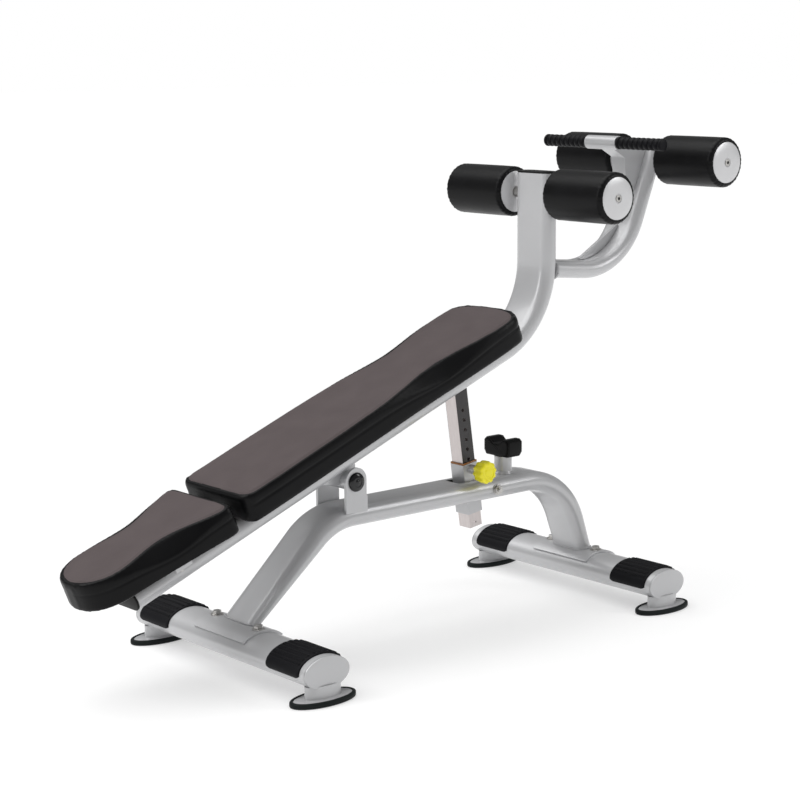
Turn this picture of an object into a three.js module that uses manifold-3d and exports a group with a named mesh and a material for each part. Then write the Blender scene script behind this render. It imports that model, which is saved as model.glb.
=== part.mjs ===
// Decline sit up bench, millimetres, +Z up, +X towards the leg rollers, +Y the user's left.
// Drawn from the front feet (x = 0), then centred on the floor by CENTRE_X.
import * as THREE from 'three';
import * as BufferGeometryUtils from 'three/addons/utils/BufferGeometryUtils.js';
import Module from 'manifold-3d';

const wasm = await Module();
wasm.setup();

// ---- driving dimensions ----
const CENTRE_X = 487.85;        // from the front feet to the middle of the bench's length
const GAP = 0.3;               // clearance between faces that touch
const WALL = 3;                // steel tube wall
const TUBE = { width: 118, depth: 50 };           // flat-oval tube of base and boom
const ARM = { width: 108, depth: 44, bend: 190 };  // flat-oval tube of the ankle arm
const BAR = { width: 125, depth: 75, half: 333, z: 68 };   // oval crossbars
const FEET_X = [0, 1100];      // front and rear crossbar
const FOOT_Y = 315;            // foot centre from the middle plane
const RUN_Z = 318;             // centreline height of the base tube's level run
const PIVOT = { x: 309, z: 404 };                 // boom pivot axis
const INCLINE = 21.5 * Math.PI / 180;             // boom slope at rest
const BOOM_RISE = 59;          // boom centreline above the pivot axis, square to the boom
const BOOM_END = -636;         // low end of the boom, from the pivot along the boom
const POST_X = 954;            // centreline of the upright post
const POST_TOP = 1100;
const POST_BEND = 230;         // centreline radius where the boom turns up into the post
const KNEE = { x: 956, z: 1049 };
const ANKLE = { x: 1357, z: 1120 };
const ROLLER = { radius: 63.8, inner: 78, outer: 278, bore: 13 };
const AXLE_RADIUS = 12.5;
const HANDLE = { x: 1196, z: 1168, half: 208, grip: 54, radius: 12.5, gripRadius: 16, collar: 18 };
const LINK = { x: 672.7, z: 603.1, lean: 8.4 * Math.PI / 180 };   // top pin of the adjusting post
const POST = { size: 40, wall: 2.5, length: 384, above: 12 };     // adjusting post
const SLEEVE = { size: 47, wall: 2, top: 217, bottom: 347 };      // from the link pin down
const PIN_DROP = 231;          // engaged hole, from the link pin down the adjusting post
const HOLE_PITCH = 25.4;
const SWIVEL_DROP = 294.5;     // swivel bolt, from the link pin down the adjusting post
const SWIVEL_ARM = 49.8;       // swivel bolt from the adjusting post's centreline
const PAD_BASE = 94.6;         // underside of the pad boards above the pivot axis
const BOARD = 12;
const CUSHION = 56;

const PAINT = new THREE.MeshStandardMaterial({ color: 0xc9cacd, roughness: 0.35, metalness: 0.45 });
const RUBBER = new THREE.MeshStandardMaterial({ color: 0x151515, roughness: 0.75, metalness: 0 });
const VINYL = new THREE.MeshStandardMaterial({ color: 0x0e0e10, roughness: 0.42, metalness: 0 });
const PANEL = new THREE.MeshStandardMaterial({ color: 0x4a4040, roughness: 0.6, metalness: 0 });
const STEEL = new THREE.MeshStandardMaterial({ color: 0xb8b6b4, roughness: 0.3, metalness: 1 });
const WOOD = new THREE.MeshStandardMaterial({ color: 0x2a2523, roughness: 0.8, metalness: 0 });
const YELLOW = new THREE.MeshStandardMaterial({ color: 0xf2e71c, roughness: 0.45, metalness: 0 });
const AMBER = new THREE.MeshStandardMaterial({ color: 0xb5651d, roughness: 0.5, metalness: 0 });
const BLACK = new THREE.MeshStandardMaterial({ color: 0x0a0a0a, roughness: 0.25, metalness: 0 });

// ---- solids ----
function solid(geometry) {
  const bare = geometry.clone();
  bare.deleteAttribute('normal');
  bare.deleteAttribute('uv');
  const merged = BufferGeometryUtils.mergeVertices(bare, 1e-4);
  const triVerts = new Uint32Array(merged.index.array);
  const vertProperties = new Float32Array(merged.attributes.position.array);
  return new wasm.Manifold(new wasm.Mesh({ numProp: 3, vertProperties, triVerts }));
}

function geometryOf(manifold) {
  const out = manifold.getMesh();
  const geometry = new THREE.BufferGeometry();
  geometry.setAttribute('position', new THREE.BufferAttribute(out.vertProperties, 3));
  geometry.setIndex(new THREE.BufferAttribute(out.triVerts, 1));
  geometry.computeVertexNormals();
  return geometry;
}

function cut(body, ...tools) {
  return geometryOf(tools.reduce((left, tool) => left.subtract(solid(tool)), solid(body)));
}

function join(...pieces) {
  return geometryOf(pieces.map(solid).reduce((all, piece) => all.add(piece)));
}

function moved(geometry, x, y, z) {
  return geometry.clone().translate(x, y, z);
}

// a cylinder or a box with its axis turned to Y, Z or X
function rod(radius, length, axis = 'y', sides = 24) {
  const geometry = new THREE.CylinderGeometry(radius, radius, length, sides);
  if (axis === 'z') geometry.rotateX(Math.PI / 2);
  if (axis === 'x') geometry.rotateZ(Math.PI / 2);
  return geometry;
}

function ring(outer, inner, length, sides = 24) {
  const half = length / 2;
  const profile = [[inner, -half], [outer, -half], [outer, half], [inner, half], [inner, -half]];
  return new THREE.LatheGeometry(pointsOf(profile), sides);
}

function box(x, y, z) {
  return new THREE.BoxGeometry(x, y, z);
}

function pointsOf(pairs) {
  return pairs.map(([x, y]) => new THREE.Vector2(x, y));
}

function polygon(pairs) {
  return new THREE.Shape(pointsOf(pairs));
}

// flat-oval outline: two straight sides joined by half circles
function flatOval(width, depth, arc = 6) {
  const r = depth / 2;
  const flat = width / 2 - r;
  const points = [];
  for (let i = 0; i <= arc; i++) {
    const a = -Math.PI / 2 + Math.PI * i / arc;
    points.push([flat + r * Math.cos(a), r * Math.sin(a)]);
  }
  for (let i = 0; i <= arc; i++) {
    const a = Math.PI / 2 + Math.PI * i / arc;
    points.push([-flat + r * Math.cos(a), r * Math.sin(a)]);
  }
  return polygon(points);
}

function oval(width, depth, sides = 28) {
  const points = [];
  for (let i = 0; i < sides; i++) {
    const a = 2 * Math.PI * i / sides;
    points.push(new THREE.Vector2(width / 2 * Math.cos(a), depth / 2 * Math.sin(a)));
  }
  return new THREE.Shape(points);
}

function square(size) {
  const h = size / 2;
  return polygon([[-h, -h], [h, -h], [h, h], [-h, h]]);
}

function hollow(outer, inner) {
  outer.holes.push(new THREE.Path(inner.getPoints().reverse()));
  return outer;
}

// a shape drawn in X and Z, with its thickness along Y about the middle plane
function plateXZ(shape, thickness, bevel = 0) {
  const settings = { depth: thickness - 2 * bevel, bevelEnabled: bevel > 0, bevelThickness: bevel,
    bevelSize: bevel, bevelOffset: -bevel, bevelSegments: 1, curveSegments: 8 };
  const geometry = new THREE.ExtrudeGeometry(shape, settings);
  geometry.translate(0, 0, -(thickness - 2 * bevel) / 2);
  return geometry.rotateX(Math.PI / 2);
}

// a shape drawn in X and Y, with its thickness up from z = 0
function slab(shape, thickness, bevel = 0) {
  const settings = { depth: thickness - 2 * bevel, bevelEnabled: bevel > 0, bevelThickness: bevel,
    bevelSize: bevel, bevelOffset: -bevel, bevelSegments: 1, curveSegments: 5 };
  return new THREE.ExtrudeGeometry(shape, settings).translate(0, 0, bevel);
}

// centreline of a bent tube in the XZ plane: corners with a bend radius, stations only where it turns
class BentRoute extends THREE.Curve {
  constructor(corners, arcSteps = 6) {
    super();
    this.stations = [];
    const at = corners.map(([x, z]) => new THREE.Vector2(x, z));
    const way = (a, b) => b.clone().sub(a).normalize();
    this.add(at[0], way(at[0], at[1]));
    for (let i = 1; i < at.length - 1; i++) {
      const before = way(at[i - 1], at[i]);
      const after = way(at[i], at[i + 1]);
      const turn = Math.atan2(before.x * after.y - before.y * after.x, before.dot(after));
      const radius = corners[i][2];
      const start = at[i].clone().addScaledVector(before, -radius * Math.tan(Math.abs(turn) / 2));
      const side = new THREE.Vector2(-before.y, before.x).multiplyScalar(Math.sign(turn));
      const centre = start.clone().addScaledVector(side, radius);
      for (let k = 0; k <= arcSteps; k++) {
        const a = turn * k / arcSteps;
        this.add(start.clone().rotateAround(centre, a), before.clone().rotateAround(new THREE.Vector2(), a));
      }
    }
    this.add(at.at(-1), way(at.at(-2), at.at(-1)));
    this.steps = this.stations.length - 1;
  }

  add(point, tangent) {
    const place = new THREE.Vector3(point.x, 0, point.y);
    this.stations.push([place, new THREE.Vector3(tangent.x, 0, tangent.y)]);
  }

  getPoint(t) {
    return this.stations[Math.round(t * this.steps)][0].clone();
  }

  getPointAt(u) {
    return this.getPoint(u);
  }

  getTangentAt(u) {
    return this.stations[Math.round(u * this.steps)][1].clone();
  }

  // the section's width always lies along Y
  computeFrenetFrames() {
    const tangents = this.stations.map(([, tangent]) => tangent.clone());
    const normals = tangents.map(() => new THREE.Vector3(0, 1, 0));
    const binormals = tangents.map((tangent, i) => tangent.clone().cross(normals[i]));
    return { tangents, normals, binormals };
  }
}

function bentTube(route, width, depth, wall = WALL) {
  const section = hollow(flatOval(width, depth), flatOval(width - 2 * wall, depth - 2 * wall, 4));
  return new THREE.ExtrudeGeometry(section, { steps: route.steps, extrudePath: route });
}

const bench = new THREE.Group();
bench.position.x = -CENTRE_X;

function add(parent, name, geometry, material) {
  const mesh = new THREE.Mesh(geometry, material);
  mesh.name = name;
  parent.add(mesh);
  return mesh;
}

// ---- crossbars: oval tubes along Y with end plates, treads and feet ----
const BAR_SIDES = 32;
const SADDLE = { half: 98, thick: 6, facets: 5 };
const TREAD = { thick: 4, from: 192, to: 312, facets: 9 };
const FLANGE = { half: 78, halfWidth: 35, low: 6.3, high: 10.8 };
const FOOT = { half: 87, halfWidth: 43.7, height: 11.7 };

function barSection(grow, length) {
  const shape = oval(BAR.width + 2 * grow, BAR.depth + 2 * grow, BAR_SIDES);
  return plateXZ(shape, length).translate(0, 0, BAR.z);
}

// a curved sheet along Y over the top of a crossbar, reaching so many of its facets down each side
function barSheet(inside, thick, facets, from, to) {
  const points = [];
  for (const [grow, sign] of [[inside, 1], [inside + thick, -1]]) {
    for (let i = -facets; i <= facets; i++) {
      const a = Math.PI / 2 - sign * i * 2 * Math.PI / BAR_SIDES;
      const x = (BAR.width / 2 + grow) * Math.cos(a);
      points.push(new THREE.Vector2(x, (BAR.depth / 2 + grow) * Math.sin(a)));
    }
  }
  return plateXZ(new THREE.Shape(points), to - from).translate(0, (from + to) / 2, BAR.z);
}

function crossbar(place, x) {
  const group = new THREE.Group();
  group.position.x = x;
  bench.add(group);
  const tubeLength = 2 * (BAR.half - 4 - GAP);
  const inside = oval(BAR.width - 2 * WALL, BAR.depth - 2 * WALL, BAR_SIDES);
  const tube = hollow(oval(BAR.width, BAR.depth, BAR_SIDES), inside);
  add(group, `${place}_crossbar`, plateXZ(tube, tubeLength).translate(0, 0, BAR.z), PAINT);
  const saddle = barSheet(GAP, SADDLE.thick, SADDLE.facets, -SADDLE.half, SADDLE.half);
  add(group, `${place}_saddle_plate`, saddle, PAINT);

  for (const [side, sign] of [['left', 1], ['right', -1]]) {
    const plate = plateXZ(oval(BAR.width, BAR.depth, BAR_SIDES), 4).translate(0, 0, BAR.z);
    const plugShape = oval(BAR.width - 2 * WALL - 2, BAR.depth - 2 * WALL - 2, 24);
    const plug = plateXZ(plugShape, 12).translate(0, 0, BAR.z);
    const cap = join(moved(plate, 0, sign * (BAR.half - 2), 0), moved(plug, 0, sign * (BAR.half - 9), 0));
    add(group, `${place}_${side}_end_plate`, cap, PAINT);

    const [from, to] = sign > 0 ? [TREAD.from, TREAD.to] : [-TREAD.to, -TREAD.from];
    add(group, `${place}_${side}_tread`, barSheet(GAP, TREAD.thick, TREAD.facets, from, to), RUBBER);

    const stub = slab(oval(96, 44, 20), BAR.z - FLANGE.low).translate(0, sign * FOOT_Y, FLANGE.low);
    const flange = slab(oval(2 * FLANGE.half, 2 * FLANGE.halfWidth, 24), FLANGE.high - FLANGE.low);
    const foot = join(stub, moved(flange, 0, sign * FOOT_Y, FLANGE.low));
    add(group, `${place}_${side}_foot_stub`, cut(foot, barSection(GAP, 900)), PAINT);

    const rubber = slab(oval(2 * FOOT.half, 2 * FOOT.halfWidth, 24), FOOT.height, 2.5);
    const seat = slab(oval(2 * FLANGE.half + 1, 2 * FLANGE.halfWidth + 1, 24), FOOT.height);
    add(group, `${place}_${side}_rubber_foot`,
      cut(moved(rubber, 0, sign * FOOT_Y, 0), moved(seat, 0, sign * FOOT_Y, FLANGE.low - GAP)), RUBBER);
  }
}

crossbar('front', FEET_X[0]);
crossbar('rear', FEET_X[1]);

// ---- base tube: front leg, level run, rear leg ----
const FRONT_LEG = 41 * Math.PI / 180;
const REAR_LEG = 70 * Math.PI / 180;
const FRONT_FOOT_X = 6;
const REAR_FOOT_X = 1096;
const RISE = RUN_Z - 105;
const baseRoute = new BentRoute([
  [FRONT_FOOT_X - 60 / Math.tan(FRONT_LEG), 45],
  [FRONT_FOOT_X + RISE / Math.tan(FRONT_LEG), RUN_Z, 170],
  [REAR_FOOT_X - RISE / Math.tan(REAR_LEG), RUN_Z, 190],
  [REAR_FOOT_X + 60 / Math.tan(REAR_LEG), 45],
]);
const RUN_TOP = RUN_Z + TUBE.depth / 2;
const SWIVEL = {
  x: LINK.x + Math.sin(LINK.lean) * SWIVEL_DROP + Math.cos(LINK.lean) * SWIVEL_ARM,
  z: LINK.z - Math.cos(LINK.lean) * SWIVEL_DROP + Math.sin(LINK.lean) * SWIVEL_ARM,
};
const SLOT = { from: 664, to: 786, half: 26 };

const baseTube = cut(
  bentTube(baseRoute, TUBE.width, TUBE.depth),
  moved(barSection(SADDLE.thick + 2 * GAP, 2 * SADDLE.half + 40), FEET_X[0], 0, 0),
  moved(barSection(SADDLE.thick + 2 * GAP, 2 * SADDLE.half + 40), FEET_X[1], 0, 0),
  moved(box(400, 300, 2 * BAR.z + 30), FEET_X[0], 0, 0),
  moved(box(400, 300, 2 * BAR.z + 30), FEET_X[1], 0, 0),
  moved(box(SLOT.to - SLOT.from, 2 * SLOT.half, 120), (SLOT.from + SLOT.to) / 2, 0, RUN_Z),
  moved(rod(6.3, 200), SWIVEL.x, 0, SWIVEL.z),
);
add(bench, 'base_tube', baseTube, PAINT);

// ---- pivot: two ears on the base tube, pin and domed caps ----
const EAR = { inner: 50, outer: 58, left: 279, radius: 31, foot: 344 };

function earPlate() {
  const shape = new THREE.Shape();
  shape.moveTo(EAR.left, RUN_TOP - 30);
  shape.lineTo(EAR.left, PIVOT.z + 12);
  shape.absarc(EAR.left + EAR.radius, PIVOT.z + 3, EAR.radius, Math.PI - 0.3, 0, true);
  shape.lineTo(EAR.left + 2 * EAR.radius, PIVOT.z - 32);
  shape.lineTo(EAR.foot, PIVOT.z - 40);
  shape.lineTo(EAR.foot, RUN_TOP - 30);
  return plateXZ(shape, EAR.outer - EAR.inner);
}

const overTube = bentTube(baseRoute, TUBE.width + 2 * GAP, TUBE.depth + 2 * GAP, 12);
for (const [side, sign] of [['left', 1], ['right', -1]]) {
  const ear = earPlate().translate(0, sign * (EAR.inner + EAR.outer) / 2, 0);
  const bore = moved(rod(10.3, 40), PIVOT.x, sign * EAR.inner, PIVOT.z);
  const below = moved(box(200, 60, 60), PIVOT.x, sign * EAR.inner, RUN_Z - 18);
  add(bench, `${side}_pivot_ear`, cut(ear, overTube, below, bore), PAINT);

  const dome = [[0, 10], [12, 9], [20, 5.5], [23, 0], [0, 0]];
  const cap = new THREE.LatheGeometry(pointsOf(dome).reverse(), 20);
  if (sign < 0) cap.rotateX(Math.PI);
  add(bench, `${side}_pivot_cap`, cap.translate(PIVOT.x, sign * (EAR.outer + GAP), PIVOT.z), BLACK);
}
add(bench, 'pivot_pin', rod(10, 2 * (EAR.outer - 1.6)).translate(PIVOT.x, 0, PIVOT.z), STEEL);

// ---- rubber saddle that carries the flat boom ----
const STOP = { x: 840, stub: 388, top: 434.5, width: 92, length: 52, stubRadius: 22.5 };
const stubHeight = STOP.stub - RUN_TOP - 2 * GAP;
const stopStub = rod(STOP.stubRadius, stubHeight, 'z').translate(STOP.x, 0, RUN_TOP + GAP + stubHeight / 2);
add(bench, 'stop_stub', stopStub, PAINT);

function stopBlock() {
  const w = STOP.width / 2;
  const h = STOP.top - STOP.stub - GAP;
  const outline = [[-w + 8, 0], [w - 8, 0], [w, 12], [w, h - 7], [w - 8, h], [w - 22, h],
    [10, h - 12], [-10, h - 12], [-w + 22, h], [-w + 8, h], [-w, h - 7], [-w, 12]];
  return plateXZ(polygon(outline), STOP.length, 4).rotateZ(Math.PI / 2).translate(STOP.x, 0, STOP.stub + GAP);
}
add(bench, 'stop_block', stopBlock(), RUBBER);

// ---- boom and post: one bent tube from the low end up to the knee rollers ----
const slope = new THREE.Vector2(Math.cos(INCLINE), Math.sin(INCLINE));
const onBoom = (s, n) => [PIVOT.x + s * slope.x - n * slope.y, PIVOT.z + s * slope.y + n * slope.x];
const elbow = (POST_X - PIVOT.x + BOOM_RISE * slope.y) / slope.x;
const boomRoute = new BentRoute([
  onBoom(BOOM_END, BOOM_RISE),
  [...onBoom(elbow, BOOM_RISE), POST_BEND],
  [POST_X, POST_TOP],
], 7);
const boomPocket = box(64, 44, 30).rotateY(-INCLINE);
const [pocketX, pocketZ] = onBoom(409, BOOM_RISE - TUBE.depth / 2);
const boomTube = cut(
  bentTube(boomRoute, TUBE.width, TUBE.depth),
  moved(boomPocket, pocketX, 0, pocketZ),
  moved(rod(5.3, 200), LINK.x, 0, LINK.z),
  moved(rod(AXLE_RADIUS + GAP, 200), KNEE.x, 0, KNEE.z),
);
add(bench, 'boom_tube', boomTube, PAINT);

const plugShape = () => flatOval(TUBE.width - 2 * WALL - 2, TUBE.depth - 2 * WALL - 2, 4);
const postCap = join(
  slab(flatOval(TUBE.width, TUBE.depth), 5, 1.5),
  slab(plugShape(), 14).translate(0, 0, -13.7),
).rotateZ(Math.PI / 2).translate(POST_X, 0, POST_TOP + GAP);
add(bench, 'post_cap', postCap, RUBBER);

// parts drawn along the sloping boom: x along it from the pivot, z square to it
const incline = new THREE.Group();
incline.position.set(PIVOT.x, 0, PIVOT.z);
incline.rotation.y = -INCLINE;
bench.add(incline);

const endCap = join(
  slab(flatOval(TUBE.width, TUBE.depth), 5, 1.5),
  slab(plugShape(), 14).translate(0, 0, -13.7),
).rotateZ(Math.PI / 2).rotateY(-Math.PI / 2).translate(BOOM_END - GAP, 0, BOOM_RISE);
add(incline, 'boom_end_cap', endCap, RUBBER);

// ---- pivot tube and hanger plate under the boom ----
const PIVOT_TUBE = { radius: 23, bore: 10.35, half: EAR.inner - 0.6 };
const BOOM_BASE = BOOM_RISE - TUBE.depth / 2;
add(incline, 'pivot_tube', ring(PIVOT_TUBE.radius, PIVOT_TUBE.bore, 2 * PIVOT_TUBE.half, 28), PAINT);
const HANGER_TOP = BOOM_BASE - GAP;
const hangerShape = polygon([[-78, HANGER_TOP], [-70, 26], [-24, 0], [22, 0], [34, 22], [36, HANGER_TOP]]);
const hangerBlock = join(
  plateXZ(hangerShape, 8).translate(0, 22, 0),
  plateXZ(hangerShape, 8).translate(0, -22, 0),
  box(108, 50, 5).translate(-20, 0, BOOM_BASE - GAP - 2.5),
);
add(incline, 'pivot_hanger', cut(hangerBlock, rod(PIVOT_TUBE.radius + GAP, 200, 'y', 28)), PAINT);

// ---- pads: straps, boards and cushions ----
const BACK = { from: -338, to: 594, half: 128 };
const HEAD = { from: -750, to: -366, half: 122, tip: 96 };
const WRAP = 14;               // cover folded round the board's edge
const BOOM_TOP = BOOM_RISE + TUBE.depth / 2;

function backOutline(inset) {
  const { from, to } = BACK;
  const w = BACK.half - inset;
  const start = from + inset;
  const end = to - inset;
  const shape = new THREE.Shape();
  shape.moveTo(start, -w + 28);
  shape.quadraticCurveTo(start + 2, -w, start + 30, -w);
  shape.bezierCurveTo(start + 320, -w - 3, start + 440, -w + 6, start + 620, -w + 4);
  shape.bezierCurveTo(start + 730, -w, end - 90, -w - 1, end - 44, -w + 6);
  shape.bezierCurveTo(end - 8, -w + 16, end, -52, end, 0);
  shape.bezierCurveTo(end, 52, end - 8, w - 16, end - 44, w - 6);
  shape.bezierCurveTo(end - 90, w + 1, start + 730, w, start + 620, w - 4);
  shape.bezierCurveTo(start + 440, w - 6, start + 320, w + 3, start + 30, w);
  shape.quadraticCurveTo(start + 2, w, start, w - 28);
  shape.closePath();
  return shape;
}

function headOutline(inset) {
  const { from, to } = HEAD;
  const w = HEAD.half - inset;
  const t = HEAD.tip - inset;
  const start = from + inset;
  const end = to - inset;
  const shape = new THREE.Shape();
  shape.moveTo(start, 0);
  shape.bezierCurveTo(start, -t * 0.62, start + 38, -t + 2, start + 100, -t);
  shape.bezierCurveTo(start + 200, -t - 4, end - 90, -w + 8, end - 24, -w);
  shape.quadraticCurveTo(end, -w, end, -w + 24);
  shape.lineTo(end, w - 24);
  shape.quadraticCurveTo(end, w, end - 24, w);
  shape.bezierCurveTo(end - 90, w - 8, start + 200, t + 4, start + 100, t);
  shape.bezierCurveTo(start + 38, t - 2, start, t * 0.62, start, 0);
  return shape;
}

for (const [name, outline] of [['back_pad', backOutline], ['head_pad', headOutline]]) {
  add(incline, `${name}_board`, slab(outline(WRAP + 2 * GAP), BOARD).translate(0, 0, PAD_BASE), WOOD);
  const recess = slab(outline(WRAP), BOARD + 1 + GAP).translate(0, 0, -1);
  add(incline, name, cut(slab(outline(0), BOARD + CUSHION, 9), recess).translate(0, 0, PAD_BASE), PANEL);
}

const STRAP = { length: 190, width: 45 };
for (const [name, s] of [['head_pad_strap', -520], ['lower_pad_strap', -190], ['upper_pad_strap', 430]]) {
  const thick = PAD_BASE - BOOM_TOP - 2 * GAP;
  const strap = box(STRAP.width, STRAP.length, thick).translate(s, 0, BOOM_TOP + GAP + thick / 2);
  add(incline, name, strap, PAINT);
}

// ---- ankle arm: bent tube from the post up to the ankle axle ----
const armRoute = new BentRoute([[POST_X + 10, 857.5], [1230, 834, ARM.bend], [1357.7, 1150]], 6);
const ARM_CENTRE = { x: 1106.5, z: 1035.6 };      // middle of the arm's bend
const overPost = new THREE.ExtrudeGeometry(flatOval(TUBE.width + 2 * GAP, TUBE.depth + 2 * GAP),
  { steps: boomRoute.steps, extrudePath: boomRoute });
const ankleArm = cut(
  bentTube(armRoute, ARM.width, ARM.depth),
  overPost,
  moved(rod(AXLE_RADIUS + GAP, 200), ANKLE.x, 0, ANKLE.z),
);
add(bench, 'ankle_arm', ankleArm, PAINT);

const overArm = new THREE.ExtrudeGeometry(flatOval(ARM.width + 2 * GAP, ARM.depth + 2 * GAP),
  { steps: armRoute.steps, extrudePath: armRoute });
const gussetShape = polygon([[163, 0], [163, 60], [180, 58], [180, 30], [180, 2]].map(([r, degrees]) => {
  const a = degrees * Math.PI / 180;
  return [ARM_CENTRE.x + r * Math.sin(a), ARM_CENTRE.z - r * Math.cos(a)];
}));
add(bench, 'arm_gusset', cut(plateXZ(gussetShape, 8), overArm), PAINT);

// ---- handle: stem from the arm, cross tube and two rubber grips ----
const stemShape = polygon([[HANDLE.x, HANDLE.z], [1204, 1179], [1215, 1178], [1345, 1146], [1325, 1060],
  [1290, 1040], [1258, 1062], [1250, 1128], [1210, 1150], [1190, 1156]]);
const overHandle = rod(HANDLE.radius + GAP, 300).translate(HANDLE.x, 0, HANDLE.z);
const collar = rod(HANDLE.collar, 2 * (HANDLE.grip - GAP)).translate(HANDLE.x, 0, HANDLE.z);
add(bench, 'handle_stem', cut(join(plateXZ(stemShape, 46), collar), overArm, overHandle), PAINT);
const handleTube = ring(HANDLE.radius, HANDLE.radius - 2, 2 * (HANDLE.half - 4));
add(bench, 'handle_tube', handleTube.translate(HANDLE.x, 0, HANDLE.z), STEEL);

for (const [side, sign] of [['left', 1], ['right', -1]]) {
  const gripLength = HANDLE.half - HANDLE.grip;
  const profile = [[0, 0], [HANDLE.gripRadius - 3, 0], [HANDLE.gripRadius, 3],
    [HANDLE.gripRadius, gripLength],
    [HANDLE.radius + 2 * GAP, gripLength], [HANDLE.radius + 2 * GAP, 4 - GAP], [0, 4 - GAP]];
  const grip = new THREE.LatheGeometry(pointsOf(profile), 16);
  if (sign > 0) grip.rotateX(Math.PI);
  add(bench, `${side}_grip`, grip.translate(HANDLE.x, sign * HANDLE.half, HANDLE.z), RUBBER);
}

// ---- axles and foam rollers ----
for (const [place, axis] of [['knee', KNEE], ['ankle', ANKLE]]) {
  const axle = rod(AXLE_RADIUS, 2 * (ROLLER.outer - 20)).translate(axis.x, 0, axis.z);
  add(bench, `${place}_axle`, axle, STEEL);
  for (const [side, sign] of [['left', 1], ['right', -1]]) {
    const { radius, inner, outer, bore } = ROLLER;
    const length = outer - inner;
    const profile = [[bore, 0], [56, 0], [radius, 7], [radius, length - 11], [56, length - 4], [0, length],
      [0, length - 16], [bore, length - 16], [bore, 0]];
    const roller = new THREE.LatheGeometry(pointsOf(profile), 20);
    if (sign < 0) roller.rotateX(Math.PI);
    add(bench, `${place}_${side}_roller`, roller.translate(axis.x, sign * inner, axis.z), VINYL);
  }
}

// ---- adjusting link, drawn down from the link pin along the leaning post ----
const link = new THREE.Group();
link.position.set(LINK.x, 0, LINK.z);
link.rotation.y = -LINK.lean;
bench.add(link);
add(bench, 'link_pin', rod(5, TUBE.width - 4).translate(LINK.x, 0, LINK.z), STEEL);

const postTube = hollow(square(POST.size), square(POST.size - 2 * POST.wall));
const postLength = POST.length + POST.above;
const postHoles = [-1, 0, 1, 2, 3, 4, 5, 6].map((i) =>
  moved(rod(5, 60, 'y', 10), 0, 0, -PIN_DROP + i * HOLE_PITCH));
const adjustingPost = cut(
  slab(postTube, postLength).translate(0, 0, -POST.length),
  rod(6.6, 60),
  moved(rod(3, 60, 'y', 8), 0, 0, -POST.length + 13),
  ...postHoles,
);
add(link, 'adjusting_post', adjustingPost, STEEL);

const sleeveLength = SLEEVE.bottom - SLEEVE.top;
const sleeveTube = hollow(square(SLEEVE.size), square(SLEEVE.size - 2 * SLEEVE.wall));
const lug = join(
  box(34, 30, 30).translate(SLEEVE.size / 2 + 17 - 1, 0, -SWIVEL_DROP),
  rod(15, 30).translate(SWIVEL_ARM, 0, -SWIVEL_DROP),
);
const PIN_OUT = SLEEVE.size / 2;
const BARREL = { radius: 12, bore: 8, length: 26, end: 3 };
const barrelFrom = PIN_OUT - 0.5;
const barrel = rod(BARREL.radius, BARREL.length).translate(0, -barrelFrom - BARREL.length / 2, -PIN_DROP);
const chamberLength = BARREL.length - BARREL.end - 0.5;
const sleeve = cut(
  join(slab(sleeveTube, sleeveLength).translate(0, 0, -SLEEVE.bottom), barrel, lug),
  rod(BARREL.bore, chamberLength).translate(0, -PIN_OUT - chamberLength / 2, -PIN_DROP),
  rod(5.3, 60).translate(0, -PIN_OUT - 20, -PIN_DROP),
  rod(6.3, 60).translate(SWIVEL_ARM, 0, -SWIVEL_DROP),
  box(SLEEVE.size - 2 * SLEEVE.wall, SLEEVE.size - 2 * SLEEVE.wall, 200).translate(0, 0, -SLEEVE.bottom + 50),
);
add(link, 'adjusting_sleeve', sleeve, PAINT);

const bushTube = hollow(square(SLEEVE.size - 2 * SLEEVE.wall - 0.4), square(POST.size + 0.6));
const bushLip = hollow(square(SLEEVE.size), square(POST.size + 0.6));
const sleeveBush = cut(
  join(
    slab(bushTube, 60).translate(0, 0, -SLEEVE.top - 60 + 1),
    slab(bushLip, 4).translate(0, 0, -SLEEVE.top + GAP),
  ),
  rod(5.4, 60).translate(0, -PIN_OUT - 10, -PIN_DROP),
);
add(link, 'sleeve_bush', sleeveBush, AMBER);

add(bench, 'swivel_bolt', join(
  rod(6, 2 * (TUBE.width / 2 + 6)),
  rod(10.5, 7, 'y', 6).translate(0, -TUBE.width / 2 - 3.5 - GAP, 0),
  rod(10.5, 7, 'y', 6).translate(0, TUBE.width / 2 + 3.5 + GAP, 0),
).translate(SWIVEL.x, 0, SWIVEL.z), STEEL);

// ---- pull pin with its spring and scalloped knob ----
const pinStart = POST.size / 2 + 0.4;      // drawn clear of the post's face
const pinEnd = PIN_OUT + 51;
const KNOB_FROM = PIN_OUT + 34;              // inner face of the knob
const KNOB_THICK = 33;
add(link, 'pull_pin', join(
  rod(4.7, pinEnd - pinStart, 'y', 16).translate(0, -(pinStart + pinEnd) / 2, -PIN_DROP),
  rod(7, 3, 'y', 16).translate(0, -PIN_OUT - 11, -PIN_DROP),
), STEEL);

function knob() {
  const shape = new THREE.Shape();
  const lobes = 10;
  const steps = lobes * 4;
  const points = [];
  for (let i = 0; i < steps; i++) {
    const a = 2 * Math.PI * i / steps;
    const r = 27 + 1.6 * Math.cos(lobes * a);
    points.push(new THREE.Vector2(r * Math.cos(a), r * Math.sin(a)));
  }
  shape.setFromPoints(points);
  const head = plateXZ(shape, KNOB_THICK, 2).translate(0, -KNOB_FROM - KNOB_THICK / 2, 0);
  const socket = rod(5, 40, 'y', 16).translate(0, -pinEnd - GAP + 20, 0);
  return cut(head, socket).translate(0, 0, -PIN_DROP);
}
add(link, 'pull_knob', knob(), YELLOW);

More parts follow.
